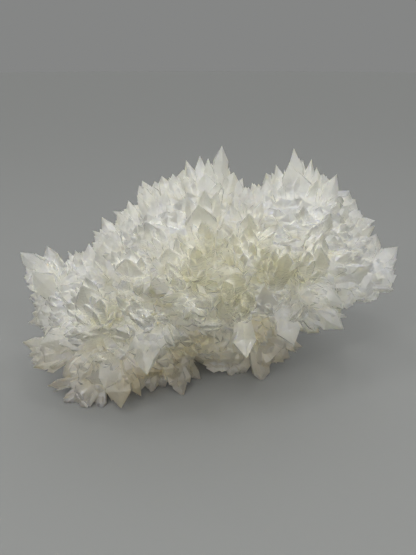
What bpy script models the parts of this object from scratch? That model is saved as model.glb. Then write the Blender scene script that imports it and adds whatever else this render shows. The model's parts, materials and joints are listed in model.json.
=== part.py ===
"""An aragonite sputnik cluster: sprays of pointed crystals grown together all round a lumpy core, as one solid.

Run with blender --background --python part.py, or from the text editor. +Z is up and -Y is the show side.
The origin is the middle of the small flat spot that the cluster rests on.
"""

import math
import random

import bmesh
import bpy
from mathutils import Matrix, Vector

MM = 0.001
SEED = 4
NAME = "crystal_cluster"

# Forms that crystals take: sides, then rings as heights and half-widths, in shares of the length and the
# half-width. A spray has one broad body, which flares from its root, and the points that stand out of it.
FORMS = {
    "body": (6, ((0.0, 0.80), (0.50, 1.00))),
    "point": (4, ((0.0, 1.50), (0.70, 1.00))),
}
SMALLEST_POINT = 4.5  # mm; a point that is narrower is left to the surface
FLATNESS = 0.78  # a crystal's thickness as a share of its width
ROLL = math.radians(20)  # the most that it turns on its own axis
BODY_LENGTH = 0.94  # a body's length as a share of its points' mean length
BODY_WIDTH = 1.3  # its width as a share of its widest point's, besides half of their spread

# The cluster's lobes: centre and reach, mm. Crystals radiate from the centres and end near the reach.
LOBES = (
    ((-44, -18, 32), 30),
    ((-6, -8, 46), 45),
    ((36, -8, 56), 35),
    ((8, -6, 34), 36),
    ((-22, -18, 32), 33),
)
CORE_SHARE = 0.66  # the massive core's radius as a share of the lobe's reach
# More lumps of the core: under the left foot, in the far right fan, behind the middle and the broken base
LUMPS = (
    ((-40, -24, 13), 12),
    ((59, -14, 46), 10),
    ((15, -21, 45), 17),
    ((32, -14, 36), 12),
    ((4, 1, 13), 19),
)
CORE_WOBBLE = 0.10  # how far a corner of the core moves in or out, as a share of its radius

# Sprays on the show side: name, root, and each tip with the crystal's width, mm
SHOW_SIDE = (
    ("left_foot", (-43, -28, 8), ((-58, -34, -1, 6.5), (-42, -37, -1, 5.5), (-64, -31, 6, 5))),
    ("left_low", (-51, -28, 21), ((-71, -30, 26, 6.5), (-69, -32, 21, 4.5), (-67, -34, 17, 5.5))),
    ("left_shade", (-52, -25, 35), ((-70, -24, 31, 4.5), (-69, -21, 34, 4), (-69, -19, 37, 4.5), (-66, -17, 41, 5.5))),
    ("left_fang", (-57, -20, 45), ((-70, -20, 59, 6.5), (-69, -23, 50, 5), (-66, -16, 57, 4))),
    ("left_tooth", (-56, -18, 42), ((-61, -16, 60, 7), (-56, -20, 57, 4))),
    ("left_bright", (-45, -18, 41), ((-45, -16, 61, 6), (-50, -18, 59, 4.5), (-54, -14, 57, 3.5))),
    ("left_shoulder", (-36, -18, 44), ((-41, -22, 61, 6),)),
    ("left_step", (-31, -17, 55), ((-40, -12, 70, 5.5), (-43, -16, 66, 4), (-43, -20, 61, 4))),
    ("high_step", (-25, -17, 57), ((-30, -10, 76, 5.5), (-34, -14, 73, 5))),
    ("left_rise", (-17, -16, 61), ((-24, -9, 81, 5), (-21, -6, 80, 5), (-16, -10, 80, 4.5), (-26, -14, 79, 4))),
    ("leaning_point", (-7, -10, 71), ((-15, -6, 83, 4),)),
    ("crown_left", (-2, -12, 70), ((-8, -10, 91, 5), (-10, -15, 86, 3.5), (-3, -7, 92, 5))),
    ("crown_right", (2, -13, 70), ((5, -9, 96, 6.5), (0, -12, 92, 4.5), (8, -4, 87, 4))),
    ("saddle_left", (12, -9, 66), ((11, -4, 83, 5.5), (14, -7, 80, 4), (17, -6, 79, 5))),
    ("saddle_right", (21, -10, 64), ((22, -6, 83, 6), (17, -3, 81, 4.5))),
    ("spire", (34, -13, 64), ((31, -9, 95, 6), (29, -14, 91, 8), (38, -8, 91, 5), (35, -4, 90, 4))),
    ("spire_shoulder", (31, -12, 66), ((25, -8, 89, 5), (26, -10, 83, 6.5))),
    ("round_tooth", (39, -14, 66), ((39, -13, 89, 5.5),)),
    ("sparkling_tooth", (39, -16, 64), ((46, -15, 87, 6.5), (45, -21, 78, 4))),
    ("right_step", (37, -14, 61), ((53, -13, 75, 5.5),)),
    ("right_bunch", (46, -18, 56), ((62, -16, 68, 6), (58, -13, 70, 5), (52, -19, 73, 4.5))),
    ("far_peak", (60, -14, 46), ((66, -8, 62, 8.5), (62, -15, 62, 6))),
    ("far_fan", (58, -18, 45), ((73, -14, 59, 7.5), (72, -17, 55, 5.5), (71, -20, 52, 5.5), (69, -21, 48, 4.5))),
    ("right_hem", (46, -18, 43), ((64, -22, 45, 5), (60, -24, 43, 4.5), (56, -26, 42, 5), (51, -27, 39, 5.5))),
    ("bow_right", (34, -24, 38), ((46, -36, 41, 6), (42, -34, 35, 5))),
    ("bow_left", (40, -22, 41), ((28, -40, 41, 5),)),
    ("right_hanging", (26, -24, 41), ((31, -38, 30, 8),)),
    ("middle_hanging", (12, -26, 39), ((18, -38, 26, 8), (21, -39, 32, 4.5))),
    ("right_foot", (21, -14, 18), ((23, -19, -1, 9), (34, -20, 12, 7.5), (39, -18, 16, 6))),
    ("broken_foot", (14, -8, 14), ((16, -14, -1, 7), (9, -16, -1, 7))),
    ("under_right", (30, -14, 32), ((45, -20, 24, 6),)),
    ("under_left", (-22, -16, 16), ((-23, -27, -1, 6), (-18, -24, -1, 6), (-29, -30, 1, 5))),
    ("middle_foot", (-16, -22, 21), ((-10, -29, -1, 7), (-13, -32, 7, 7), (-3, -18, -1, 6))),
    ("front_blades", (-35, -30, 23), ((-38, -43, 14, 8.5), (-23, -41, 18, 7.5), (-37, -39, 5, 7), (-26, -36, 5, 5.5))),
    ("sparkling_hem", (-45, -30, 22), ((-54, -40, 17, 6.5), (-47, -42, 17, 5))),
    ("grey_tooth", (-41, -28, 32), ((-40, -44, 60, 7), (-46, -42, 54, 4.5), (-35, -48, 54, 4.5))),
    ("grey_dome", (-26, -28, 46), ((-25, -42, 69, 7.5), (-32, -38, 67, 6), (-21, -46, 68, 4))),
    ("small_spear", (-28, -34, 42), ((-27, -50, 62, 4.5),)),
    ("sparkling_ridge", (-22, -36, 36), ((-29, -52, 57, 4.5), (-23, -55, 57, 4.5), (-18, -55, 52, 4))),
    ("ridge_end", (-18, -34, 38), ((-14, -54, 50, 4.5),)),
    ("front_low", (-19, -34, 40), ((-27, -50, 35, 5), (-19, -50, 31, 7), (-11, -54, 40, 6))),
    ("fan", (-1, -25, 61), ((-1, -32, 86, 6), (-7, -30, 83, 5.5), (3, -31, 85, 5.5))),
    ("under_fan", (1, -29, 58), ((-2, -44, 79, 5.5),)),
    ("left_of_fan", (-14, -25, 55), ((-21, -32, 75, 6), (-16, -36, 74, 4.5))),
    ("centre", (-4, -31, 52), ((-10, -46, 74, 6), (-4, -50, 73, 5))),
    ("sparkles", (14, -20, 62), ((8, -26, 79, 4.5), (11, -23, 80, 4), (19, -22, 79, 5))),
    ("grey_column", (12, -28, 55), ((13, -39, 80, 7), (8, -41, 74, 5), (17, -45, 66, 5.5))),
    ("dark_pair", (14, -25, 60), ((23, -38, 76, 4.5), (21, -40, 72, 4.5))),
    ("middle_right", (23, -29, 47), ((26, -43, 71, 5.5), (21, -45, 70, 4.5))),
    ("knob", (36, -20, 63), ((32, -30, 80, 4),)),
    ("shelf", (36, -22, 58), ((41, -32, 77, 6), (36, -35, 75, 4.5))),
    ("dark_peak", (37, -25, 48), ((37, -41, 73, 6.5), (32, -44, 69, 5))),
    ("brown_tip", (42, -22, 48), ((58, -32, 60, 7.5), (49, -34, 65, 6))),
    ("slab", (35, -25, 49), ((47, -38, 47, 7), (35, -40, 47, 7))),
    ("small_up", (9, -33, 42), ((5, -53, 63, 4.5),)),
    ("sparkling_bud", (16, -31, 38), ((12, -50, 58, 4.5),)),
    ("dark_bud", (13, -32, 36), ((10, -52, 54, 5),)),
    ("lumps", (-3, -33, 47), ((-1, -54, 54, 6.5), (-8, -54, 50, 6.5), (-15, -54, 57, 5.5))),
    ("cream_points", (-8, -32, 48), ((-13, -50, 68, 4.5), (-11, -54, 64, 4))),
)

# Between and behind the listed sprays, the lobes are filled by rule.
FILL_SPACING = 26  # mm from one spray to the next
FILL_FAR = (0.80, 0.92)  # shortest and longest on the far side, as shares of the reach
FILL_BACK = 1.2  # how much further the far side reaches back than its lobes do
FILL_NEAR = (0.68, 0.78)  # and on the show side, where the listed sprays stand out further
FILL_LOWEST = 5  # the lowest that a tip reaches, mm
FILL_ROOT = 0.30  # where a spray starts, as a share of its lobe's reach
FILL_WIDTH = (9, 12)  # narrowest and widest body, mm

GROUND_SIZE = 400  # mm, a block below the floor that cuts the flat spot


def clear_scene():
    for obj in list(bpy.data.objects):
        bpy.data.objects.remove(obj)


def new_collection(name):
    made = bpy.data.collections.new(name)
    bpy.context.scene.collection.children.link(made)
    return made


def crystal_material():
    material = bpy.data.materials.new("pale_crystal")
    material.use_nodes = True
    shader = material.node_tree.nodes["Principled BSDF"]
    shader.inputs["Base Color"].default_value = (0.60, 0.60, 0.53, 1)
    shader.inputs["Roughness"].default_value = 0.35
    shader.inputs["Metallic"].default_value = 0.0
    return material


def form_mesh(name, sides, rings):
    """A crystal one unit long and one unit in half-width, its root at the origin and its point up +Z."""
    bm = bmesh.new()
    bmesh.ops.create_cone(bm, cap_ends=True, segments=sides, radius1=1, radius2=0, depth=1)
    bmesh.ops.translate(bm, verts=bm.verts, vec=(0, 0, 0.5))
    for height, _ in rings[1:]:
        geom = bm.verts[:] + bm.edges[:] + bm.faces[:]
        bmesh.ops.bisect_plane(bm, geom=geom, plane_co=(0, 0, height), plane_no=(0, 0, 1))
    for height, half_width in rings:
        on_ring = [vert for vert in bm.verts if abs(vert.co.z - height) < 1e-4]
        share = half_width / (1 - height)
        bmesh.ops.scale(bm, verts=on_ring, vec=(share, share, 1))
    mesh = bpy.data.meshes.new(name)
    bm.to_mesh(mesh)
    bm.free()
    return mesh


def add_crystal(collection, name, form, root, tip, width, across, rng):
    """One crystal from root to tip, with its broad side along the given direction."""
    axis = (tip - root).normalized()
    through = axis.cross(across).normalized()
    across = through.cross(axis)
    turn = Matrix((across, through, axis)).transposed().to_4x4()
    roll = Matrix.Rotation(rng.uniform(-ROLL, ROLL), 4, "Z")
    size = Matrix.Diagonal((width / 2, FLATNESS * width / 2, (tip - root).length, 1))
    obj = bpy.data.objects.new(name, form)
    obj.matrix_world = Matrix.Scale(MM, 4) @ Matrix.Translation(root) @ turn @ roll @ size
    obj.hide_render = True
    obj.display_type = "WIRE"
    collection.objects.link(obj)


def add_lump(collection, name, centre, radius, detail, rng):
    bm = bmesh.new()
    bmesh.ops.create_icosphere(bm, subdivisions=detail, radius=radius * MM)
    for vert in bm.verts:
        vert.co *= 1 + rng.uniform(-CORE_WOBBLE, CORE_WOBBLE)
    bmesh.ops.translate(bm, verts=bm.verts, vec=Vector(centre) * MM)
    mesh = bpy.data.meshes.new(name)
    bm.to_mesh(mesh)
    bm.free()
    obj = bpy.data.objects.new(name, mesh)
    collection.objects.link(obj)
    return obj


def across_sight(axis):
    """The direction square to this axis and to the line of sight from -Y."""
    across = axis.cross(Vector((0, 1, 0)))
    return across if across.length > 0.2 * axis.length else Vector((1, 0, 0))


def spray(name, root, points):
    """(name, form, root, tip, width, across) of a spray's body and points."""
    tips = [tip for tip, _ in points]
    mean = sum((tip - root for tip in tips), Vector()) / len(tips)
    ends = max(((a - b) for a in tips for b in tips), key=lambda gap: gap.length)
    across = ends if len(tips) > 1 else across_sight(mean)
    widest = max(width for _, width in points)
    spread = ends.cross(mean.normalized()).length
    body_width = spread / 2 + BODY_WIDTH * widest
    yield name, "body", root, root + mean * BODY_LENGTH, body_width, across
    for number, (tip, width) in enumerate(points):
        if width < SMALLEST_POINT:
            continue
        yield f"{name}_{number}", "point", root, tip, width, across_sight(tip - root)


def listed_crystals():
    for name, root, tips in SHOW_SIDE:
        points = [(Vector((x, y, z)), width) for x, y, z, width in tips]
        yield from spray(name, Vector(root), points)


def even_directions(count):
    """Unit vectors spread evenly over a sphere, by the golden angle."""
    golden = math.pi * (3 - math.sqrt(5))
    for number in range(count):
        z = 1 - 2 * (number + 0.5) / count
        across = math.sqrt(1 - z * z)
        yield Vector((across * math.cos(golden * number), across * math.sin(golden * number), z))


def filling_crystals(rng):
    """Bodies spread evenly over the lobes, except where another lobe or the floor is in the way."""
    for lobe, (centre, reach) in enumerate(LOBES):
        centre = Vector(centre)
        count = round(4 * math.pi * reach**2 / FILL_SPACING**2)
        for number, direction in enumerate(even_directions(count)):
            far = direction.y > 0
            length = reach * rng.uniform(*(FILL_FAR if far else FILL_NEAR))
            tip = centre + direction * length
            if far:
                tip.y = centre.y + (tip.y - centre.y) * FILL_BACK
            inside = any(
                (tip - Vector(other)).length < FILL_NEAR[1] * other_reach
                for other, other_reach in LOBES
                if other_reach != reach
            )
            if inside or tip.z < FILL_LOWEST:
                continue
            root = centre + direction * FILL_ROOT * reach
            name = f"fill_{lobe}_{number}"
            width = rng.uniform(*FILL_WIDTH)
            yield name, "body", root, tip, width, across_sight(direction)


def boolean(obj, operation, operand):
    modifier = obj.modifiers.new(operation.lower(), "BOOLEAN")
    modifier.operation = operation
    modifier.solver = "EXACT"
    if isinstance(operand, bpy.types.Collection):
        modifier.operand_type = "COLLECTION"
        modifier.collection = operand
    else:
        modifier.object = operand


def add_ground(collection):
    bm = bmesh.new()
    bmesh.ops.create_cube(bm, size=GROUND_SIZE * MM)
    bmesh.ops.translate(bm, verts=bm.verts, vec=(0, 0, -GROUND_SIZE * MM / 2))
    mesh = bpy.data.meshes.new("ground")
    bm.to_mesh(mesh)
    bm.free()
    obj = bpy.data.objects.new("ground", mesh)
    obj.hide_render = True
    obj.display_type = "WIRE"
    collection.objects.link(obj)
    return obj


def main():
    clear_scene()
    rng = random.Random(SEED)
    part = new_collection("aragonite_sputnik_cluster")
    grown_on = new_collection("crystals_and_lumps")
    cutters = new_collection("cutters")
    for helper in (grown_on, cutters):
        helper.hide_render = True
    forms = {name: form_mesh(name, *shape) for name, shape in FORMS.items()}
    core = [(centre, reach * CORE_SHARE, 1) for centre, reach in LOBES]
    core += [(centre, radius, 2) for centre, radius in LUMPS]
    cluster = add_lump(part, NAME, *core[0], rng)
    cluster.data.materials.append(crystal_material())
    for number, (centre, radius, detail) in enumerate(core[1:]):
        lump = add_lump(grown_on, f"lump_{number}", centre, radius, detail, rng)
        lump.hide_render = True
        lump.display_type = "WIRE"
    for name, form, root, tip, width, across in [*listed_crystals(), *filling_crystals(rng)]:
        add_crystal(grown_on, name, forms[form], root, tip, width, across, rng)
    boolean(cluster, "UNION", grown_on)
    boolean(cluster, "DIFFERENCE", add_ground(cutters))


main()
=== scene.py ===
"""The look of the aragonite sputnik cluster: all its crystals, its material, the light and the camera.

The big crystals and the core are part.py's, worked out from the same lists in the same order. Lists and
sizes are in millimetres, and the objects in metres. +Z is up and -Y is the show side.
"""

import json
import math
import random

import bmesh
import bpy
import numpy as np
from mathutils import Matrix, Vector

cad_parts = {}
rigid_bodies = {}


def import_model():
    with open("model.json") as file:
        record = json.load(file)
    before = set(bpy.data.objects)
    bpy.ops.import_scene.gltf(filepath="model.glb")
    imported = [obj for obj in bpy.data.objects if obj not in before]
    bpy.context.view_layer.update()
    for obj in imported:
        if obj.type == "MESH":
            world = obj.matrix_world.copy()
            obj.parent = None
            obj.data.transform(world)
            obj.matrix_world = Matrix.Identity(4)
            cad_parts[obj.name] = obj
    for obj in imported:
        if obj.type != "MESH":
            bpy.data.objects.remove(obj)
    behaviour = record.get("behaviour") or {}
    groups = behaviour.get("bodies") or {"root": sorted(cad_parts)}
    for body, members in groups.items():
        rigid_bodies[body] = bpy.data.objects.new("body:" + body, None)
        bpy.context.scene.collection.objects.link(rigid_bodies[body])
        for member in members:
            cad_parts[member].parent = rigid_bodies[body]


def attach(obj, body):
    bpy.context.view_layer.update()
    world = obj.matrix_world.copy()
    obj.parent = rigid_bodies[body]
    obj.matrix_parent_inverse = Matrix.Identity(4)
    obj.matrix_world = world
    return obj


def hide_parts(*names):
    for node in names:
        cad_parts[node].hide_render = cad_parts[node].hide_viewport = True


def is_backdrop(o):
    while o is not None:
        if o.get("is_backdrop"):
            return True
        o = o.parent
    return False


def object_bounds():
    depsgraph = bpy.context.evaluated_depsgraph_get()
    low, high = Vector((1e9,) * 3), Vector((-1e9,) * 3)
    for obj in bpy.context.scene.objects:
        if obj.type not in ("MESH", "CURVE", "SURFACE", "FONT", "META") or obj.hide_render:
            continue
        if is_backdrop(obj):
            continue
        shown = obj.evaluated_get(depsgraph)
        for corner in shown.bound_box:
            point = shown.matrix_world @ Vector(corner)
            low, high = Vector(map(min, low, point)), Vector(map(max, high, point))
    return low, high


MM = 0.001
SEED = 4
DETAIL_SEED = 11
NODE = "crystal_cluster"

# Forms that crystals take: sides, thickness as a share of the width, then rings as heights and half-widths,
# in shares of the length and the half-width. Each has a few variants, with rings a little off.
FORMS = {
    "stem": (8, 0.48, ((0.0, 0.60), (0.80, 1.00))),
    "point": (6, 0.52, ((0.0, 1.10), (0.55, 1.08), (0.80, 0.95))),
    "blade": (4, 0.50, ((0.0, 0.75), (0.78, 0.96))),
    "leaf": (6, 0.40, ((0.0, 0.65), (0.68, 1.00))),
    "small": (4, 0.60, ((0.0, 1.00), (0.55, 0.90))),
}
VARIANTS = 6
RING_WOBBLE = 0.08  # how far a ring's half-width is off, as a share
RING_SHIFT = 0.14  # how far a ring is off the axis, in half-widths
FLATNESS = 0.78  # how flat the rings are in which small crystals stand round a big one
ROLL = math.radians(20)  # the most that a crystal turns on its own axis
BODY_LENGTH = 0.94  # a body's length as a share of its points' mean length
BODY_WIDTH = 1.3  # its width as a share of its widest point's, besides half of their spread
SMALLEST_POINT = 4.5  # mm; part.py leaves out a point that is narrower
END_ON = 0.2  # a crystal nearer than this to the line of sight, as a sine, counts as seen end on
SAME_HEIGHT = 1e-4  # corners this near to a ring belong to it, as a share of the length

# The cluster's lobes: centre and reach, mm. Crystals radiate from the centres and end near the reach.
LOBES = (
    ((-44, -18, 32), 30),
    ((-6, -8, 46), 45),
    ((36, -8, 56), 35),
    ((8, -6, 34), 36),
    ((-22, -18, 32), 33),
)
CORE_SHARE = 0.66  # the massive core's radius as a share of the lobe's reach
# More of the core: under the left foot, in the far right fan, behind the middle (two) and at the broken
# base. Centre and radius, mm.
LUMPS = (
    ((-40, -24, 13), 12),
    ((59, -14, 46), 10),
    ((15, -21, 45), 17),
    ((32, -14, 36), 12),
    ((4, 1, 13), 19),
)
CORE_SHRINK = 0.98  # keeps the core just under part.py's, as a share of its radius
CORE_WOBBLE = 0.10  # how far a corner of the core moves in or out, as a share of its radius
LOBE_DETAIL = 1  # subdivision level of a lobe's icosphere, which has 20 faces
LUMP_DETAIL = 2  # and of a lump's, which has 80
ON_CORE = -1  # stands for the core, where a face has the number of its crystal

# Sprays on the show side: name, root, and each tip with the crystal's width, mm
SHOW_SIDE = (
    ("left_foot", (-43, -28, 8), ((-58, -34, -1, 6.5), (-42, -37, -1, 5.5), (-64, -31, 6, 5))),
    ("left_low", (-51, -28, 21), ((-71, -30, 26, 6.5), (-69, -32, 21, 4.5), (-67, -34, 17, 5.5))),
    (
        "left_shade",
        (-52, -25, 35),
        ((-70, -24, 31, 4.5), (-69, -21, 34, 4), (-69, -19, 37, 4.5), (-66, -17, 41, 5.5)),
    ),
    ("left_fang", (-57, -20, 45), ((-70, -20, 59, 6.5), (-69, -23, 50, 5), (-66, -16, 57, 4))),
    ("left_tooth", (-56, -18, 42), ((-61, -16, 60, 7), (-56, -20, 57, 4))),
    ("left_bright", (-45, -18, 41), ((-45, -16, 61, 6), (-50, -18, 59, 4.5), (-54, -14, 57, 3.5))),
    ("left_shoulder", (-36, -18, 44), ((-41, -22, 61, 6),)),
    ("left_step", (-31, -17, 55), ((-40, -12, 70, 5.5), (-43, -16, 66, 4), (-43, -20, 61, 4))),
    ("high_step", (-25, -17, 57), ((-30, -10, 76, 5.5), (-34, -14, 73, 5))),
    (
        "left_rise",
        (-17, -16, 61),
        ((-24, -9, 81, 5), (-21, -6, 80, 5), (-16, -10, 80, 4.5), (-26, -14, 79, 4)),
    ),
    ("leaning_point", (-7, -10, 71), ((-15, -6, 83, 4),)),
    ("crown_left", (-2, -12, 70), ((-8, -10, 91, 5), (-10, -15, 86, 3.5), (-3, -7, 92, 5))),
    ("crown_right", (2, -13, 70), ((5, -9, 96, 6.5), (0, -12, 92, 4.5), (8, -4, 87, 4))),
    ("saddle_left", (12, -9, 66), ((11, -4, 83, 5.5), (14, -7, 80, 4), (17, -6, 79, 5))),
    ("saddle_right", (21, -10, 64), ((22, -6, 83, 6), (17, -3, 81, 4.5))),
    ("spire", (34, -13, 64), ((31, -9, 95, 6), (29, -14, 91, 8), (38, -8, 91, 5), (35, -4, 90, 4))),
    ("spire_shoulder", (31, -12, 66), ((25, -8, 89, 5), (26, -10, 83, 6.5))),
    ("round_tooth", (39, -14, 66), ((39, -13, 89, 5.5),)),
    ("sparkling_tooth", (39, -16, 64), ((46, -15, 87, 6.5), (45, -21, 78, 4))),
    ("right_step", (37, -14, 61), ((53, -13, 75, 5.5),)),
    ("right_bunch", (46, -18, 56), ((62, -16, 68, 6), (58, -13, 70, 5), (52, -19, 73, 4.5))),
    ("far_peak", (60, -14, 46), ((66, -8, 62, 8.5), (62, -15, 62, 6))),
    (
        "far_fan",
        (58, -18, 45),
        ((73, -14, 59, 7.5), (72, -17, 55, 5.5), (71, -20, 52, 5.5), (69, -21, 48, 4.5)),
    ),
    (
        "right_hem",
        (46, -18, 43),
        ((64, -22, 45, 5), (60, -24, 43, 4.5), (56, -26, 42, 5), (51, -27, 39, 5.5)),
    ),
    ("bow_right", (34, -24, 38), ((46, -36, 41, 6), (42, -34, 35, 5))),
    ("bow_left", (40, -22, 41), ((28, -40, 41, 5),)),
    ("right_hanging", (26, -24, 41), ((31, -38, 30, 8),)),
    ("middle_hanging", (12, -26, 39), ((18, -38, 26, 8), (21, -39, 32, 4.5))),
    ("right_foot", (21, -14, 18), ((23, -19, -1, 9), (34, -20, 12, 7.5), (39, -18, 16, 6))),
    ("broken_foot", (14, -8, 14), ((16, -14, -1, 7), (9, -16, -1, 7))),
    ("under_right", (30, -14, 32), ((45, -20, 24, 6),)),
    ("under_left", (-22, -16, 16), ((-23, -27, -1, 6), (-18, -24, -1, 6), (-29, -30, 1, 5))),
    ("middle_foot", (-16, -22, 21), ((-10, -29, -1, 7), (-13, -32, 7, 7), (-3, -18, -1, 6))),
    (
        "front_blades",
        (-35, -30, 23),
        ((-38, -43, 14, 8.5), (-23, -41, 18, 7.5), (-37, -39, 5, 7), (-26, -36, 5, 5.5)),
    ),
    ("sparkling_hem", (-45, -30, 22), ((-54, -40, 17, 6.5), (-47, -42, 17, 5))),
    ("grey_tooth", (-41, -28, 32), ((-40, -44, 60, 7), (-46, -42, 54, 4.5), (-35, -48, 54, 4.5))),
    ("grey_dome", (-26, -28, 46), ((-25, -42, 69, 7.5), (-32, -38, 67, 6), (-21, -46, 68, 4))),
    ("small_spear", (-28, -34, 42), ((-27, -50, 62, 4.5),)),
    ("sparkling_ridge", (-22, -36, 36), ((-29, -52, 57, 4.5), (-23, -55, 57, 4.5), (-18, -55, 52, 4))),
    ("ridge_end", (-18, -34, 38), ((-14, -54, 50, 4.5),)),
    ("front_low", (-19, -34, 40), ((-27, -50, 35, 5), (-19, -50, 31, 7), (-11, -54, 40, 6))),
    ("fan", (-1, -25, 61), ((-1, -32, 86, 6), (-7, -30, 83, 5.5), (3, -31, 85, 5.5))),
    ("under_fan", (1, -29, 58), ((-2, -44, 79, 5.5),)),
    ("left_of_fan", (-14, -25, 55), ((-21, -32, 75, 6), (-16, -36, 74, 4.5))),
    ("centre", (-4, -31, 52), ((-10, -46, 74, 6), (-4, -50, 73, 5))),
    ("sparkles", (14, -20, 62), ((8, -26, 79, 4.5), (11, -23, 80, 4), (19, -22, 79, 5))),
    ("grey_column", (12, -28, 55), ((13, -39, 80, 7), (8, -41, 74, 5), (17, -45, 66, 5.5))),
    ("dark_pair", (14, -25, 60), ((23, -38, 76, 4.5), (21, -40, 72, 4.5))),
    ("middle_right", (23, -29, 47), ((26, -43, 71, 5.5), (21, -45, 70, 4.5))),
    ("knob", (36, -20, 63), ((32, -30, 80, 4),)),
    ("shelf", (36, -22, 58), ((41, -32, 77, 6), (36, -35, 75, 4.5))),
    ("dark_peak", (37, -25, 48), ((37, -41, 73, 6.5), (32, -44, 69, 5))),
    ("brown_tip", (42, -22, 48), ((58, -32, 60, 7.5), (49, -34, 65, 6))),
    ("slab", (35, -25, 49), ((47, -38, 47, 7), (35, -40, 47, 7))),
    ("small_up", (9, -33, 42), ((5, -53, 63, 4.5),)),
    ("sparkling_bud", (16, -31, 38), ((12, -50, 58, 4.5),)),
    ("dark_bud", (13, -32, 36), ((10, -52, 54, 5),)),
    ("lumps", (-3, -33, 47), ((-1, -54, 54, 6.5), (-8, -54, 50, 6.5), (-15, -54, 57, 5.5))),
    ("cream_points", (-8, -32, 48), ((-13, -50, 68, 4.5), (-11, -54, 64, 4))),
)

# Between and behind the listed sprays, the lobes are filled by rule.
FILL_SPACING = 26  # mm from one spray to the next
FILL_FAR = (0.80, 0.92)  # shortest and longest on the far side, as shares of the reach
FILL_BACK = 1.2  # how much further the far side reaches back than its lobes do
FILL_NEAR = (0.68, 0.78)  # and on the show side, where the listed sprays stand out further
FILL_LOWEST = 5  # the lowest that a tip reaches, mm
FILL_ROOT = 0.30  # where a spray starts, as a share of its lobe's reach
FILL_WIDTH = (9, 12)  # narrowest and widest body, mm

# A spray is a stem in a fan of blades, grown together in layers. Each layer has its count of blades, how far
# it stands in front of the stem, its height in the middle and how much lower its edges end. All but counts,
# here and below, are shares of the spray's width or length.
LAYERS = {
    "spray": ((5, 0.00, 1.00, 0.20), (3, 0.38, 0.88, 0.14), (3, -0.38, 0.88, 0.14)),
    "low": ((4, 0.00, 1.00, 0.20), (2, 0.36, 0.86, 0.12), (2, -0.36, 0.86, 0.12)),
}
LAYER_SPREAD = 0.80  # how far out a layer's outermost blades stand
LAYER_ROOT = 0.72  # how near the stem a layer starts, against where it ends
LAYER_UNEVEN = 0.05  # how far in front of its layer, or behind it, a blade stands
BLADE_START = (0.30, 0.45)  # where a blade leaves the stem, as a share of its own height
BLADE_WIDTH = {"spray": (0.28, 0.42), "low": (0.38, 0.54)}
BLADE_UNEVEN = 0.07  # how much higher or lower than its layer a blade ends
BLADE_SPACING = 0.25  # how far off its even place a blade stands, as a share of the spacing
BLADE_TURN = 0.35  # how far a blade turns out of its layer, as a slope
# The short blades round a spray's foot: their count, heights, how far out they end, and widths
COLLAR = {
    "spray": (6, (0.50, 0.72), (0.48, 0.62), (0.30, 0.44)),
    "low": (2, (0.5, 0.7), (0.45, 0.6), (0.3, 0.4)),
}
COLLAR_START = (0.10, 0.25)  # heights where they start
COLLAR_ROOT = 0.2  # how far out they start
STEM_WIDTH = {"spray": 1.0, "low": 0.88}
STEM_LENGTH = 0.86
WIDEST = 1.1  # the most that a spray's width is of its length

# Two small crystals stand along the flanks of each point. Shares of its size.
SMALL_COUNT = 2
SMALL_END = (0.60, 0.92)
SMALL_LENGTH = (0.20, 0.34)
SMALL_WIDTH = (0.30, 0.42)
SMALL_ROOT = 0.30  # how far out from the axis it starts, and then ends
SMALL_OUT = 0.46
SMALL_STAND = (0.0, 0.8)  # how much further its tip stands off, mm
SMALL_UNEVEN = 0.4  # how far round from its even place it stands, as a share of the spacing

# Low sprays cover the core between the others and lean up and out along the side that they are on.
LOW_SPACING = {"lobe": 15.8, "lump": 14.5}  # mm from one to the next
LOW_BURIED = 0.96  # one that starts deeper than this in another mound's core is left out
LOW_START = 0.38  # shares of the reach
LOW_REACH_SHOW = (0.71, 0.80)  # on the show side
LOW_REACH = (0.80, 0.92)  # and on the far side
LOW_LEAN = {"lobe": 0.8, "lump": 0.5}  # how much it leans, against straight out
LEAN_OUT = 0.4  # the lean's share along X, its share along Z and how much of it is up everywhere
LEAN_ALONG = 0.5
LEAN_UP = 0.4
LEAST_LEAN = 1  # mm; one whose tip is less than this off the straight line out stands upright
LOW_WIDTH = {"lobe": (14, 19), "lump": (11, 15)}  # mm
LOW_LOWEST = 2  # the lowest that one starts or ends, mm
# Notches between the sprays, where no low one ends: centre and radius, mm
NOTCHES = (((56, -6, 76), 11), ((-13, -8, 83), 6), ((70, -12, 40), 6))

# More short sprays where the core would show: root, tip and width, mm
GAP_SPRAYS = (
    ((-42, -26, 29), (-49, -42, 37), 12),
    ((-36, -32, 22), (-40, -44, 27), 9),
    ((-1, -34, 36), (2, -48, 44), 9),
)
# Broad smooth blades that stand out between the sprays: root, tip and width, mm
LEAVES = (
    ((-1, -26, 60), (-3, -36, 82), 12),
    ((12, -29, 55), (13, -41, 77), 9),
    ((-25, -30, 48), (-26, -45, 67), 12),
    ((23, -31, 48), (25, -45, 69), 11),
    ((36, -27, 50), (36, -43, 70), 11),
    ((-41, -30, 34), (-41, -46, 58), 11),
    ((43, -24, 48), (56, -34, 59), 10),
    ((27, -27, 42), (31, -40, 31), 11),
    ((-35, -31, 21), (-33, -42, 4), 11),
    ((0, -14, 68), (-1, -14, 87), 15),
    ((34, -14, 66), (32, -14, 88), 16),
    ((-10, -30, 52), (-13, -47, 71), 12),
    ((9, -33, 48), (8, -50, 64), 12),
    ((-55, -24, 40), (-64, -27, 54), 11),
    ((-22, -34, 40), (-24, -52, 54), 12),
    ((-22, -36, 36), (-21, -51, 26), 10),
    ((12, -34, 42), (13, -51, 33), 9),
    ((-47, -30, 30), (-61, -39, 31), 11),
    ((36, -26, 42), (49, -37, 36), 10),
)
GROUND_SIZE = 400  # mm, a block below the floor that cuts the flat spot

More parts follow.
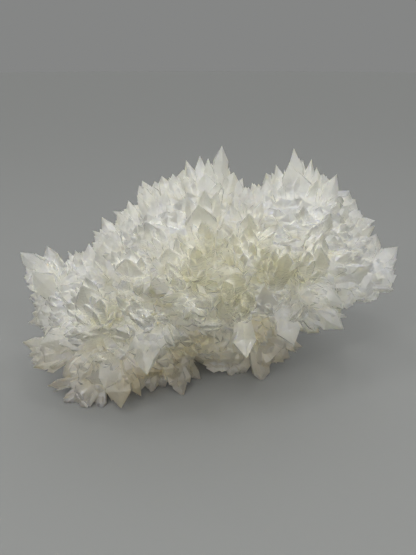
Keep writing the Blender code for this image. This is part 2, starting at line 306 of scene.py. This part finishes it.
# The crystal's colours
PAINTED_GLOW_CREAM = (0.995, 0.98, 0.89)  # painted glow in the recesses, standing in for light scattered through the crystals
MILKY = (0.98, 0.98, 0.955)  # on the flanks
CLEAR = (0.87, 0.885, 0.88)  # at the points
PAINTED_LOW_SHADE = (0.93, 0.92, 0.81)  # painted shade: darker and greyer over the lower half, where less light falls
TAN_AND_SHADE = (0.76, 0.69, 0.50)  # near the floor, its own colour, and stronger in the recesses as painted shade
PAINTED_GLOW_YELLOW = (1.0, 0.975, 0.76)  # painted glow, where light scattered in the deep recesses comes out
ORANGE = (0.88, 0.77, 0.46)  # where iron has stained it
# Places with a colour of their own, which are iron stains, and places of painted glow: the colour, its share,
# then centres and radii, mm
STAINS_AND_GLOW = (
    (PAINTED_GLOW_YELLOW, 0.65, (((6, -42, 56), 22), ((-34, -38, 38), 13), ((28, -38, 56), 14))),
    (ORANGE, 0.8, (((-23, -34, 14), 12), ((-4, -34, 24), 12), ((18, -34, 34), 8))),
)
STAIN_AND_GLOW_EDGE = (1.3, 0.4)  # where each stain and each patch of painted glow starts and is full, in radii
CLOUD_SCALE = 90.0  # of the cloudy patches, like the other noise scales in cycles a metre
RECESS = (0.15, 0.85)  # share of open air in a full recess and out in the open
OPEN_REACH = 12  # mm within which a neighbour makes a recess
OPEN_SAMPLES = 6
TONE_SPREAD = 0.3  # how unevenly the crystals clear towards their points
CLEAR_ALONG = (0.45, 1.0)  # where a crystal starts to clear and is clear, as shares of its length
LOW_SHADE_TOP = 52  # mm, where the painted shade starts, going down
LOW_SHADE_BOTTOM = 8  # mm, where it is full
LOW_SHADE_SHARE = 0.6
TAN_TOP = 34  # mm, where the tan starts, going down
TAN_BOTTOM = 8  # mm, where it is full
TAN_CLOUDY = 0.03  # how far the clouds move its edge, metres
TAN_OPEN = 0.35  # its share out in the open, against a recess, where the extra tan is painted shade
TAN_RECESS = 0.2  # the share of open air at which it is full
CLEAR_SHARE = 0.1  # how much of the transmission is up to the clear points, against open air
TRANSMISSION = (0.38, 0.94)  # share of light that passes through, in a recess and at a clear point
ROUGHNESS = (0.50, 0.70)
CLOUD_EDGE = (0.35, 0.65)  # noise values between which the roughness goes from one to the other
GLOW_DEPTH = 40  # mm that light travels below the surface
GLOW_TINT = (1.0, 0.95, 0.7)
IOR = 1.55
COAT_ROUGHNESS = 0.05
RELIEF = 0.35  # strengths of the relief, of the frosting in it and of the sparkle on the coat
FROST = 0.8
SPARKLE = 0.85
RELIEF_DEPTH = 0.8  # mm
RIDGE_SCALE = 1.8  # noise scales in each crystal's own coordinates, in cycles a mm
RIDGE_STRETCH = (1.0, 1.0, 0.16)
UNEVEN_SCALE = 0.5
FROST_SCALE = 700.0
SUGAR_SCALE = 900.0
# What stands in for a crystal's own values on the core: length in mm, height as a share and tone
CORE_VALUES = (60.0, 0.2, 0.5)
GRAIN_SHIFT = 100  # mm between the grain of crystals that differ most in tone

# A mix node has a socket of each name for each kind of value. These are the ones for colours.
MIX_SOCKETS = (0, 6, 7)  # share, first and second
MIX_RESULT = 2

# The camera looks down at the show side, as in the photograph.
CAMERA_PLACE = (0, -186, 126)
CAMERA_PITCH = 25  # degrees below the horizon
FRAME_HEIGHT = 555  # pixels
FOCAL_LENGTH = 480  # in the same pixels
SENSOR = 36  # mm, over the frame's height

FLOOR_RADIUS = 4000  # mm
FLOOR_SIDES = 96
FLOOR_COLOUR = (0.157, 0.160, 0.156)
FLOOR_ROUGHNESS = 0.6
DOME_HEIGHTS = (0.15, 0.55)  # how far up the dome starts to brighten and is brightest, as sines
DOME = (0.238, 0.60)  # brightness at the horizon and overhead
BOUNCES = 16  # enough for the light that goes to and fro in the recesses
LIT = (0, -10, 40)  # what the lights point at, mm
# Name, direction it shines from, width in degrees and strength
SUNS = (
    ("overhead", (0.1, -0.25, 1.0), 100, 0.8),
    ("front", (-0.35, -1.0, 0.24), 110, 4.2),
    ("back", (0.3, 1.0, 0.4), 110, 1.3),
)
# Small lamps that make the glints: places and size, mm, and watts
STRIPS = (
    (-160, -160, 520),
    (160, -120, 520),
    (-20, -320, 420),
    (60, -60, 600),
    (-220, -360, 300),
    (200, -380, 320),
)
STRIP_SIZE = (50, 25)
STRIP_WATTS = 0.26
SKY_TINT = (0.985, 1.0, 0.99, 1)
CLIP_START = 0.01  # metres


def collection_of(name):
    made = bpy.data.collections.new(name)
    bpy.context.scene.collection.children.link(made)
    return made


def form_mesh(name, sides, thickness, rings, rng):
    """A crystal one unit long and one unit in half-width, its root at the origin and its point up +Z."""
    bm = bmesh.new()
    bmesh.ops.create_cone(bm, cap_ends=True, segments=sides, radius1=1, radius2=0, depth=1)
    bmesh.ops.translate(bm, verts=bm.verts, vec=(0, 0, 0.5))
    for height, _ in rings[1:]:
        geom = bm.verts[:] + bm.edges[:] + bm.faces[:]
        bmesh.ops.bisect_plane(bm, geom=geom, plane_co=(0, 0, height), plane_no=(0, 0, 1))
    for height, half_width in rings:
        on_ring = [vert for vert in bm.verts if abs(vert.co.z - height) < SAME_HEIGHT]
        share = half_width / (1 - height) * (1 + rng.uniform(-RING_WOBBLE, RING_WOBBLE))
        bmesh.ops.scale(bm, verts=on_ring, vec=(share, share * thickness, 1))
        shift = [rng.uniform(-RING_SHIFT, RING_SHIFT) * height for _ in range(2)]
        bmesh.ops.translate(bm, verts=on_ring, vec=(*shift, 0))
    mesh = bpy.data.meshes.new(name)
    bm.to_mesh(mesh)
    bm.free()
    return mesh


class Nodes:
    """Shader nodes of one material, made and joined in few words."""

    def __init__(self, material):
        self.tree = material.node_tree

    def add(self, kind, **sockets):
        """A node of this kind. Each socket takes a value, or the output that feeds it."""
        node = self.tree.nodes.new(kind)
        for name, value in sockets.items():
            self.set(node, name.replace("_", " "), value)
        return node

    def feed(self, socket, value):
        """Sets the socket to a value, or links it to the output that feeds it."""
        if isinstance(value, bpy.types.NodeSocket):
            self.tree.links.new(value, socket)
        else:
            socket.default_value = value

    def set(self, node, name, value):
        self.feed(node.inputs[name], value)

    def attribute(self, name):
        node = self.tree.nodes.new("ShaderNodeAttribute")
        node.attribute_name = name
        return node.outputs["Vector"] if name == "grain" else node.outputs["Fac"]

    def math(self, operation, *values):
        node = self.tree.nodes.new("ShaderNodeMath")
        node.operation = operation
        for socket, value in zip(node.inputs, values):
            self.feed(socket, value)
        return node.outputs[0]

    def ramp(self, value, low, high, to_low=0.0, to_high=1.0):
        """The value's way from low to high, smoothly, as a number from to_low to to_high."""
        node = self.tree.nodes.new("ShaderNodeMapRange")
        node.interpolation_type = "SMOOTHSTEP"
        for name, given in zip(("From Min", "From Max", "To Min", "To Max"), (low, high, to_low, to_high)):
            node.inputs[name].default_value = given
        self.set(node, "Value", value)
        return node.outputs["Result"]

    def distance(self, place, point):
        node = self.tree.nodes.new("ShaderNodeVectorMath")
        node.operation = "DISTANCE"
        self.feed(node.inputs[0], place)
        self.feed(node.inputs[1], point)
        return node.outputs["Value"]

    def open_air(self, reach):
        """0 deep between the crystals and 1 where nothing stands near."""
        node = self.add("ShaderNodeAmbientOcclusion", Distance=reach * MM)
        node.samples = OPEN_SAMPLES
        return self.ramp(node.outputs["AO"], *RECESS)

    def noise(self, vector, scale, detail=2.0, roughness=0.5):
        node = self.add("ShaderNodeTexNoise", Vector=vector, Scale=scale, Detail=detail, Roughness=roughness)
        return node.outputs["Fac"]

    def mix(self, share, first, second):
        """The second colour over the first, by this share."""
        node = self.tree.nodes.new("ShaderNodeMix")
        node.data_type = "RGBA"
        for number, value in zip(MIX_SOCKETS, (share, first, second)):
            self.feed(node.inputs[number], (*value, 1) if isinstance(value, tuple) else value)
        return node.outputs[MIX_RESULT]


def number_faces(mesh, number):
    """Notes on every face which crystal it belongs to."""
    numbers = mesh.attributes.new("crystal", "INT", "FACE")
    numbers.data.foreach_set("value", [number] * len(mesh.polygons))


class Cluster:
    """The crystals as they are added, with each one's place and size."""

    def __init__(self, collection):
        self.collection = collection
        rng = random.Random(DETAIL_SEED)
        self.forms = {
            kind: [form_mesh(kind, *shape, rng) for _ in range(VARIANTS)] for kind, shape in FORMS.items()
        }
        self.places = []
        self.lengths = []

    def add(self, kind, root, tip, width, across, roll):
        """One crystal from root to tip, with its broad side along the given direction. Returns its place."""
        axis = (tip - root).normalized()
        through = axis.cross(across).normalized()
        across = through.cross(axis)
        turn = Matrix((across, through, axis)).transposed().to_4x4()
        length = (tip - root).length
        size = Matrix.Diagonal((width / 2, width / 2, length, 1))
        mesh = self.forms[kind][len(self.places) % VARIANTS].copy()
        number_faces(mesh, len(self.places))
        obj = bpy.data.objects.new(f"{kind}_{len(self.places)}", mesh)
        place = Matrix.Translation(root) @ turn @ Matrix.Rotation(roll, 4, "Z")
        obj.matrix_world = Matrix.Scale(MM, 4) @ place @ size
        self.collection.objects.link(obj)
        self.places.append(place)
        self.lengths.append(length)
        return place


def core_object(collection, name, bm):
    """An object from the bmesh, with its faces noted as the core's."""
    mesh = bpy.data.meshes.new(name)
    bm.to_mesh(mesh)
    bm.free()
    number_faces(mesh, ON_CORE)
    obj = bpy.data.objects.new(name, mesh)
    collection.objects.link(obj)
    return obj


def lump(collection, name, centre, radius, detail, rng):
    bm = bmesh.new()
    bmesh.ops.create_icosphere(bm, subdivisions=detail, radius=radius * MM)
    for vert in bm.verts:
        vert.co *= 1 + rng.uniform(-CORE_WOBBLE, CORE_WOBBLE)
    bmesh.ops.translate(bm, verts=bm.verts, vec=Vector(centre) * MM)
    return core_object(collection, name, bm)


def across_sight(axis):
    """The direction square to this axis and to the line of sight from -Y."""
    across = axis.cross(Vector((0, 1, 0)))
    return across if across.length > END_ON * axis.length else Vector((1, 0, 0))


def spray(root, points):
    """(form, root, tip, width, across) of a spray's body and points."""
    tips = [tip for tip, _ in points]
    mean = sum((tip - root for tip in tips), Vector()) / len(tips)
    ends = max((a - b for a in tips for b in tips), key=lambda gap: gap.length)
    across = ends if len(tips) > 1 else across_sight(mean)
    widest = max(width for _, width in points)
    spread = ends.cross(mean.normalized()).length
    body_width = spread / 2 + BODY_WIDTH * widest
    yield "body", root, root + mean * BODY_LENGTH, body_width, across
    for tip, width in points:
        yield "point", root, tip, width, across_sight(tip - root)


def listed_crystals():
    for _, root, tips in SHOW_SIDE:
        points = [(Vector((x, y, z)), width) for x, y, z, width in tips]
        yield from spray(Vector(root), points)


def even_directions(count):
    """Unit vectors spread evenly over a sphere, by the golden angle."""
    golden = math.pi * (3 - math.sqrt(5))
    for number in range(count):
        z = 1 - 2 * (number + 0.5) / count
        across = math.sqrt(1 - z * z)
        yield Vector((across * math.cos(golden * number), across * math.sin(golden * number), z))


def in_another(place, mounds, own_reach, share):
    """Whether the place is in another mound, up to this share of that one's reach."""
    others = [(Vector(centre), reach) for centre, reach in mounds if reach != own_reach]
    return any((place - centre).length < share * reach for centre, reach in others)


def filling_crystals(rng):
    """Bodies spread evenly over the lobes, except where another lobe or the floor is in the way."""
    for centre, reach in LOBES:
        centre = Vector(centre)
        count = round(4 * math.pi * reach**2 / FILL_SPACING**2)
        for direction in even_directions(count):
            far = direction.y > 0
            length = reach * rng.uniform(*(FILL_FAR if far else FILL_NEAR))
            tip = centre + direction * length
            if far:
                tip.y = centre.y + (tip.y - centre.y) * FILL_BACK
            if in_another(tip, LOBES, reach, FILL_NEAR[1]) or tip.z < FILL_LOWEST:
                continue
            root = centre + direction * FILL_ROOT * reach
            yield "body", root, tip, rng.uniform(*FILL_WIDTH), across_sight(direction)


def low_sprays(rng):
    """Short sprays spread over the lobes, so that no core shows between the long ones."""
    mounds = [*LOBES, *((centre, radius / CORE_SHARE) for centre, radius in LUMPS)]
    for number, (centre, reach) in enumerate(mounds):
        kind = "lobe" if number < len(LOBES) else "lump"
        centre = Vector(centre)
        count = round(4 * math.pi * reach**2 / LOW_SPACING[kind] ** 2)
        for direction in even_directions(count):
            root = centre + direction * LOW_START * reach
            sideways = Vector((LEAN_OUT * direction.x, 0, LEAN_ALONG * direction.z + LEAN_UP))
            leaning = (direction + sideways * LOW_LEAN[kind] * abs(direction.y)).normalized()
            reaches = LOW_REACH_SHOW if direction.y < 0 else LOW_REACH
            tip = centre + leaning * reach * rng.uniform(*reaches)
            foot = centre + direction * CORE_SHARE * reach
            buried = in_another(foot, mounds, reach, LOW_BURIED * CORE_SHARE)
            in_notch = any((tip - Vector(notch)).length < radius for notch, radius in NOTCHES)
            if buried or in_notch or foot.z < LOW_LOWEST:
                continue
            tip.z = max(tip.z, LOW_LOWEST)
            across = (tip - root).cross(direction)
            if across.length < LEAST_LEAN:
                across = across_sight(direction)
            yield root, tip, rng.uniform(*LOW_WIDTH[kind]), across


def blades(kind, place, width, length, rng):
    """(root, tip, width, across) of the blades in a spray, layer by layer."""
    turned = place.to_3x3()
    for count, stand, height, drop in LAYERS[kind]:
        for number in range(count):
            side = (number + 0.5 + rng.uniform(-BLADE_SPACING, BLADE_SPACING)) / count * 2 - 1
            end = height - drop * side**2 + rng.uniform(-BLADE_UNEVEN, BLADE_UNEVEN)
            stands = stand + rng.uniform(-LAYER_UNEVEN, LAYER_UNEVEN)
            out = Vector((side * LAYER_SPREAD, stands, 0)) * width / 2
            root = out * LAYER_ROOT + Vector((0, 0, end * rng.uniform(*BLADE_START) * length))
            tip = out + Vector((0, 0, end * length))
            across = Vector((1, rng.uniform(-BLADE_TURN, BLADE_TURN), 0))
            yield place @ root, place @ tip, width * rng.uniform(*BLADE_WIDTH[kind]), turned @ across


def collar(kind, place, width, length, rng):
    """(root, tip, width, across) of the short blades that lean out round a spray's foot."""
    count, heights, stands, widths = COLLAR[kind]
    turn = rng.uniform(0, 2 * math.pi)
    for number in range(count):
        angle = turn + 2 * math.pi * (number + rng.uniform(-BLADE_SPACING, BLADE_SPACING)) / count
        out = Vector((math.cos(angle), FLATNESS * math.sin(angle), 0)) * width
        root = out * COLLAR_ROOT + Vector((0, 0, rng.uniform(*COLLAR_START) * length))
        tip = out * rng.uniform(*stands) + Vector((0, 0, rng.uniform(*heights) * length))
        across = Vector((-out.y, out.x, 0))
        yield place @ root, place @ tip, width * rng.uniform(*widths), place.to_3x3() @ across


def small_crystals(place, width, length, rng):
    """(root, tip, width, across) of the small crystals along the flanks of a point."""
    turn = rng.uniform(0, 2 * math.pi)
    for number in range(SMALL_COUNT):
        angle = turn + 2 * math.pi * (number + rng.uniform(-SMALL_UNEVEN, SMALL_UNEVEN)) / SMALL_COUNT
        out = Vector((math.cos(angle), FLATNESS * math.sin(angle), 0))
        end = rng.uniform(*SMALL_END)
        start = end - rng.uniform(*SMALL_LENGTH)
        root = out * (width * SMALL_ROOT) + Vector((0, 0, start * length))
        tip = out * (width * SMALL_OUT + rng.uniform(*SMALL_STAND)) + Vector((0, 0, end * length))
        across = Vector((-out.y, out.x, 0))
        yield place @ root, place @ tip, width * rng.uniform(*SMALL_WIDTH), place.to_3x3() @ across


def boolean(obj, operation, operand):
    modifier = obj.modifiers.new(operation.lower(), "BOOLEAN")
    modifier.operation = operation
    modifier.solver = "MANIFOLD"
    if isinstance(operand, bpy.types.Collection):
        modifier.operand_type = "COLLECTION"
        modifier.collection = operand
    else:
        modifier.object = operand


def ground(collection):
    """A block whose top is the floor."""
    bm = bmesh.new()
    bmesh.ops.create_cube(bm, size=GROUND_SIZE * MM)
    bmesh.ops.translate(bm, verts=bm.verts, vec=(0, 0, -GROUND_SIZE * MM / 2))
    return core_object(collection, "ground", bm)


def made_mesh(obj):
    """The object's mesh with its modifiers applied."""
    graph = bpy.context.evaluated_depsgraph_get()
    return bpy.data.meshes.new_from_object(obj.evaluated_get(graph))


def remove_all(collection):
    for obj in list(collection.objects):
        mesh = obj.data
        bpy.data.objects.remove(obj)
        bpy.data.meshes.remove(mesh)
    bpy.data.collections.remove(collection)


def add_spray(cluster, kind, root, tip, width, across, roll, rng):
    """A stem from root towards tip, with the blades that are grown together with it."""
    length = (tip - root).length
    width = min(width, WIDEST * length)
    end = root + (tip - root) * STEM_LENGTH
    place = cluster.add("stem", root, end, width * STEM_WIDTH[kind], across, roll)
    for blade in blades(kind, place, width, length, rng):
        cluster.add("blade", *blade, rng.uniform(-ROLL, ROLL))
    for blade in collar(kind, place, width, length, rng):
        cluster.add("blade", *blade, rng.uniform(-ROLL, ROLL))


def add_point(cluster, kind, root, tip, width, across, roll, rng):
    """A single crystal, with the small ones along its flanks."""
    place = cluster.add(kind, root, tip, width, across, roll)
    for small in small_crystals(place, width, (tip - root).length, rng):
        cluster.add("small", *small, rng.uniform(-ROLL, ROLL))


def build_core(holder, grown_on, rng):
    """The lobes and lumps. The first one takes all the others, and is returned."""
    rounded = [(centre, reach * CORE_SHARE, LOBE_DETAIL) for centre, reach in LOBES]
    rounded += [(centre, radius, LUMP_DETAIL) for centre, radius in LUMPS]
    made = []
    for number, (centre, radius, detail) in enumerate(rounded):
        collection = grown_on if made else holder
        made.append(lump(collection, f"core_{number}", centre, radius * CORE_SHRINK, detail, rng))
    return made[0]


def grow_long_sprays(cluster, rng, detail_rng):
    """The sprays that part.py has too. Their big crystals take the same numbers from rng as there."""
    listed = list(listed_crystals())
    for number, (kind, root, tip, width, across) in enumerate([*listed, *filling_crystals(rng)]):
        if kind == "body":
            layers = "spray" if number < len(listed) else "low"
            add_spray(cluster, layers, root, tip, width, across, rng.uniform(-ROLL, ROLL), detail_rng)
        else:
            in_cad = width >= SMALLEST_POINT
            roll = (rng if in_cad else detail_rng).uniform(-ROLL, ROLL)
            add_point(cluster, "point", root, tip, width, across, roll, detail_rng)


def grow_leaves(cluster, rng):
    for root, tip, width in LEAVES:
        root, tip = Vector(root), Vector(tip)
        roll = rng.uniform(-ROLL, ROLL)
        add_point(cluster, "leaf", root, tip, width, across_sight(tip - root), roll, rng)


def grow_short_sprays(cluster, rng):
    in_gaps = [(Vector(root), Vector(tip), width, Vector((1, 0, 0))) for root, tip, width in GAP_SPRAYS]
    for low in [*low_sprays(rng), *in_gaps]:
        add_spray(cluster, "low", *low, rng.uniform(-ROLL, ROLL), rng)


def grown_mesh():
    """The core and all the crystals joined in one closed mesh, and the crystals' places and lengths."""
    rng = random.Random(SEED)
    detail_rng = random.Random(DETAIL_SEED)
    grown_on = collection_of("grown_on")
    holder = collection_of("holder")
    cluster = Cluster(grown_on)
    core = build_core(holder, grown_on, rng)
    grow_long_sprays(cluster, rng, detail_rng)
    grow_leaves(cluster, detail_rng)
    grow_short_sprays(cluster, detail_rng)
    boolean(core, "UNION", grown_on)
    boolean(core, "DIFFERENCE", ground(holder))
    mesh = made_mesh(core)
    remove_all(grown_on)
    remove_all(holder)
    return mesh, cluster.places, cluster.lengths


def values_of(elements, name, count, kind=np.int32):
    """The named value of all the mesh's elements, as one flat array."""
    values = np.empty(count, kind)
    elements.foreach_get(name, values)
    return values


def add_grain_coordinates(mesh, places, lengths, rng):
    """Gives each face corner its place in its own crystal, its share of the length and the crystal's tone."""
    core_length, core_along, core_tone = CORE_VALUES
    numbers = values_of(mesh.attributes["crystal"].data, "value", len(mesh.polygons))
    of_corner = np.repeat(numbers, values_of(mesh.polygons, "loop_total", len(mesh.polygons)))
    vertex_of = values_of(mesh.loops, "vertex_index", len(mesh.loops))
    points = values_of(mesh.vertices, "co", len(mesh.vertices) * 3, float)
    points = points.reshape(-1, 3)[vertex_of] / MM
    inverse = np.array([place.inverted() for place in places] + [Matrix.Identity(4)])
    length_of = np.array([*lengths, core_length])
    tones = np.array([rng.random() for _ in places] + [core_tone])
    turned = np.einsum("nij,nj->ni", inverse[of_corner, :3, :3], points) + inverse[of_corner, :3, 3]
    along = np.clip(turned[:, 2] / length_of[of_corner], 0, 1)
    along[of_corner == ON_CORE] = core_along
    turned[:, 0] += tones[of_corner] * GRAIN_SHIFT
    grain = mesh.attributes.new("grain", "FLOAT_VECTOR", "CORNER")
    grain.data.foreach_set("vector", turned.astype(np.float32).ravel())
    for name, values in (("along", along), ("tone", tones[of_corner])):
        attribute = mesh.attributes.new(name, "FLOAT", "CORNER")
        attribute.data.foreach_set("value", values.astype(np.float32))


def crystal_material():
    """Milky crystal: a painted cream glow in the recesses, white on the flanks, clearer at the points,
    painted shade lower down, and tan below, with more painted shade in the recesses.
    """
    material = bpy.data.materials.new("pale_crystal")
    material.use_nodes = True
    nodes = Nodes(material)
    shader = material.node_tree.nodes["Principled BSDF"]
    place = nodes.add("ShaderNodeTexCoord").outputs["Object"]
    open_air = nodes.open_air(OPEN_REACH)
    cloud = nodes.noise(place, CLOUD_SCALE, detail=3.0)
    uneven = nodes.math("MULTIPLY", nodes.math("SUBTRACT", nodes.attribute("tone"), 0.5), TONE_SPREAD)
    tips = nodes.ramp(nodes.math("ADD", nodes.attribute("along"), uneven), *CLEAR_ALONG)
    clear = nodes.math("MULTIPLY", tips, open_air)
    by_air = nodes.math("MULTIPLY", open_air, 1 - CLEAR_SHARE)
    through = nodes.math("ADD", nodes.math("MULTIPLY", clear, CLEAR_SHARE), by_air)
    nodes.set(shader, "Base Color", crystal_colour(nodes, place, open_air, clear, cloud))
    nodes.set(shader, "Transmission Weight", nodes.ramp(through, 0.0, 1.0, *TRANSMISSION))
    nodes.set(shader, "Roughness", nodes.ramp(cloud, *CLOUD_EDGE, *ROUGHNESS))
    nodes.set(shader, "Normal", growth_relief(nodes, place))
    sugar = nodes.noise(place, SUGAR_SCALE)
    sparkle = nodes.add("ShaderNodeBump", Strength=SPARKLE, Distance=RELIEF_DEPTH * MM, Height=sugar)
    nodes.set(shader, "Coat Normal", sparkle.outputs["Normal"])
    shader.inputs["IOR"].default_value = IOR
    shader.inputs["Coat Weight"].default_value = 1.0
    shader.inputs["Coat Roughness"].default_value = COAT_ROUGHNESS
    shader.inputs["Subsurface Weight"].default_value = 1.0
    shader.inputs["Subsurface Radius"].default_value = GLOW_TINT
    shader.inputs["Subsurface Scale"].default_value = GLOW_DEPTH * MM
    return material


def crystal_colour(nodes, place, open_air, clear, cloud):
    height = nodes.add("ShaderNodeSeparateXYZ", Vector=place).outputs["Z"]
    # Painted glow: cream where the crystals crowd together, white out in the open.
    colour = nodes.mix(open_air, PAINTED_GLOW_CREAM, MILKY)
    colour = nodes.mix(clear, colour, CLEAR)
    # Painted shade: the lower part darker and greyer.
    low = nodes.ramp(height, LOW_SHADE_TOP * MM, LOW_SHADE_BOTTOM * MM, 0.0, LOW_SHADE_SHARE)
    colour = nodes.mix(low, colour, PAINTED_LOW_SHADE)
    # Tan near the floor, the base's own colour, stronger in the recesses as painted shade.
    colour = nodes.mix(tan_and_shade_share(nodes, height, cloud, open_air), colour, TAN_AND_SHADE)
    # Painted glow in yellow at the listed recesses, and orange iron stains.
    for stain_or_glow, share, spots in STAINS_AND_GLOW:
        for centre, radius in spots:
            gap = nodes.distance(place, Vector(centre) * MM)
            near = nodes.ramp(gap, *(radius * MM * edge for edge in STAIN_AND_GLOW_EDGE))
            colour = nodes.mix(nodes.math("MULTIPLY", near, share), colour, stain_or_glow)
    return colour


def tan_and_shade_share(nodes, height, cloud, open_air):
    """How much of the tan shows: most near the floor, its own colour there, and more in the recesses as
    painted shade, with a cloudy edge.
    """
    cloudy = nodes.math("MULTIPLY", nodes.math("SUBTRACT", cloud, 0.5), TAN_CLOUDY)
    low = nodes.ramp(nodes.math("ADD", height, cloudy), TAN_TOP * MM, TAN_BOTTOM * MM)
    return nodes.math("MULTIPLY", low, nodes.ramp(open_air, 1.0, TAN_RECESS, TAN_OPEN, 1.0))


def growth_relief(nodes, place):
    """Fine ridges along each crystal, uneven growth across it and a fine frosting, as a normal."""
    grain = nodes.attribute("grain")
    stretch = nodes.add("ShaderNodeMapping", Vector=grain, Scale=RIDGE_STRETCH)
    ridges = nodes.noise(stretch.outputs["Vector"], RIDGE_SCALE, detail=3.0, roughness=0.6)
    frost = nodes.noise(place, FROST_SCALE, detail=3.0)
    relief = nodes.math("ADD", ridges, nodes.math("MULTIPLY", frost, FROST))
    uneven = nodes.noise(grain, UNEVEN_SCALE, detail=4.0, roughness=0.6)
    relief = nodes.math("ADD", relief, uneven)
    bump = nodes.add("ShaderNodeBump", Strength=RELIEF, Distance=RELIEF_DEPTH * MM, Height=relief)
    return bump.outputs["Normal"]


def floor_material():
    """A plain matt floor, with no shine that would change its tone from one side to the other."""
    material = bpy.data.materials.new("pale_floor")
    material.use_nodes = True
    shader = material.node_tree.nodes["Principled BSDF"]
    shader.inputs["Base Color"].default_value = (*FLOOR_COLOUR, 1)
    shader.inputs["Roughness"].default_value = FLOOR_ROUGHNESS
    shader.inputs["Specular IOR Level"].default_value = 0.0
    return material


def stage():
    """The plain floor that the cluster rests on."""
    bm = bmesh.new()
    bmesh.ops.create_circle(bm, cap_ends=True, segments=FLOOR_SIDES, radius=FLOOR_RADIUS * MM)
    mesh = bpy.data.meshes.new("floor")
    bm.to_mesh(mesh)
    bm.free()
    mesh.materials.append(floor_material())
    obj = bpy.data.objects.new("floor", mesh)
    bpy.context.scene.collection.objects.link(obj)
    obj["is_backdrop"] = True


def strip(name, place):
    """A small lamp that points at the cluster and that the camera doesn't see."""
    data = bpy.data.lights.new(name, "AREA")
    data.shape = "RECTANGLE"
    data.size, data.size_y = (side * MM for side in STRIP_SIZE)
    data.energy = STRIP_WATTS
    obj = bpy.data.objects.new(name, data)
    obj.location = Vector(place) * MM
    obj.rotation_euler = (Vector(LIT) - Vector(place)).to_track_quat("-Z", "Y").to_euler()
    obj.visible_camera = False
    bpy.context.scene.collection.objects.link(obj)


def sun(name, source, width, strength):
    data = bpy.data.lights.new(name, "SUN")
    data.angle = math.radians(width)
    data.energy = strength
    obj = bpy.data.objects.new(name, data)
    obj.rotation_euler = Vector(source).to_track_quat("Z", "Y").to_euler()
    bpy.context.scene.collection.objects.link(obj)


def light():
    """A soft dome, bright overhead and grey at the horizon, with three wide suns and the small lamps."""
    world = bpy.data.worlds.new("studio")
    world.use_nodes = True
    tree = world.node_tree
    up = tree.nodes.new("ShaderNodeSeparateXYZ")
    tree.links.new(tree.nodes.new("ShaderNodeTexCoord").outputs["Generated"], up.inputs[0])
    ramp = tree.nodes.new("ShaderNodeMapRange")
    ramp.interpolation_type = "SMOOTHSTEP"
    for name, value in zip(("From Min", "From Max", "To Min", "To Max"), (*DOME_HEIGHTS, *DOME)):
        ramp.inputs[name].default_value = value
    tree.links.new(up.outputs["Z"], ramp.inputs["Value"])
    background = tree.nodes["Background"]
    background.inputs["Color"].default_value = SKY_TINT
    tree.links.new(ramp.outputs["Result"], background.inputs["Strength"])
    bpy.context.scene.world = world
    for number, place in enumerate(STRIPS):
        strip(f"strip_{number}", place)
    for name, source, width, strength in SUNS:
        sun(name, source, width, strength)
    bpy.context.scene.view_settings.view_transform = "Standard"


def camera():
    data = bpy.data.cameras.new("camera")
    data.sensor_width = SENSOR
    data.lens = SENSOR * FOCAL_LENGTH / FRAME_HEIGHT
    data.clip_start = CLIP_START
    obj = bpy.data.objects.new("camera", data)
    obj.location = Vector(CAMERA_PLACE) * MM
    obj.rotation_euler = (math.radians(90 - CAMERA_PITCH), 0, 0)
    bpy.context.scene.collection.objects.link(obj)
    bpy.context.scene.camera = obj


def light_paths():
    """The counts of bounces, which are short by default for a milky thing with deep recesses."""
    cycles = bpy.context.scene.cycles
    cycles.max_bounces = BOUNCES
    cycles.diffuse_bounces = BOUNCES
    cycles.transmission_bounces = BOUNCES


def main():
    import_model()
    cad_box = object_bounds()
    light_paths()
    camera()
    stage()
    light()
    mesh, places, lengths = grown_mesh()
    add_grain_coordinates(mesh, places, lengths, random.Random(DETAIL_SEED))
    mesh.name = "crystals"
    mesh.materials.clear()
    mesh.materials.append(crystal_material())
    piece = bpy.data.objects.new("crystals", mesh)
    bpy.context.scene.collection.objects.link(piece)
    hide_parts(NODE)
    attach(piece, "root")
    [[list(corner) for corner in box] for box in (cad_box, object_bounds())]


main()
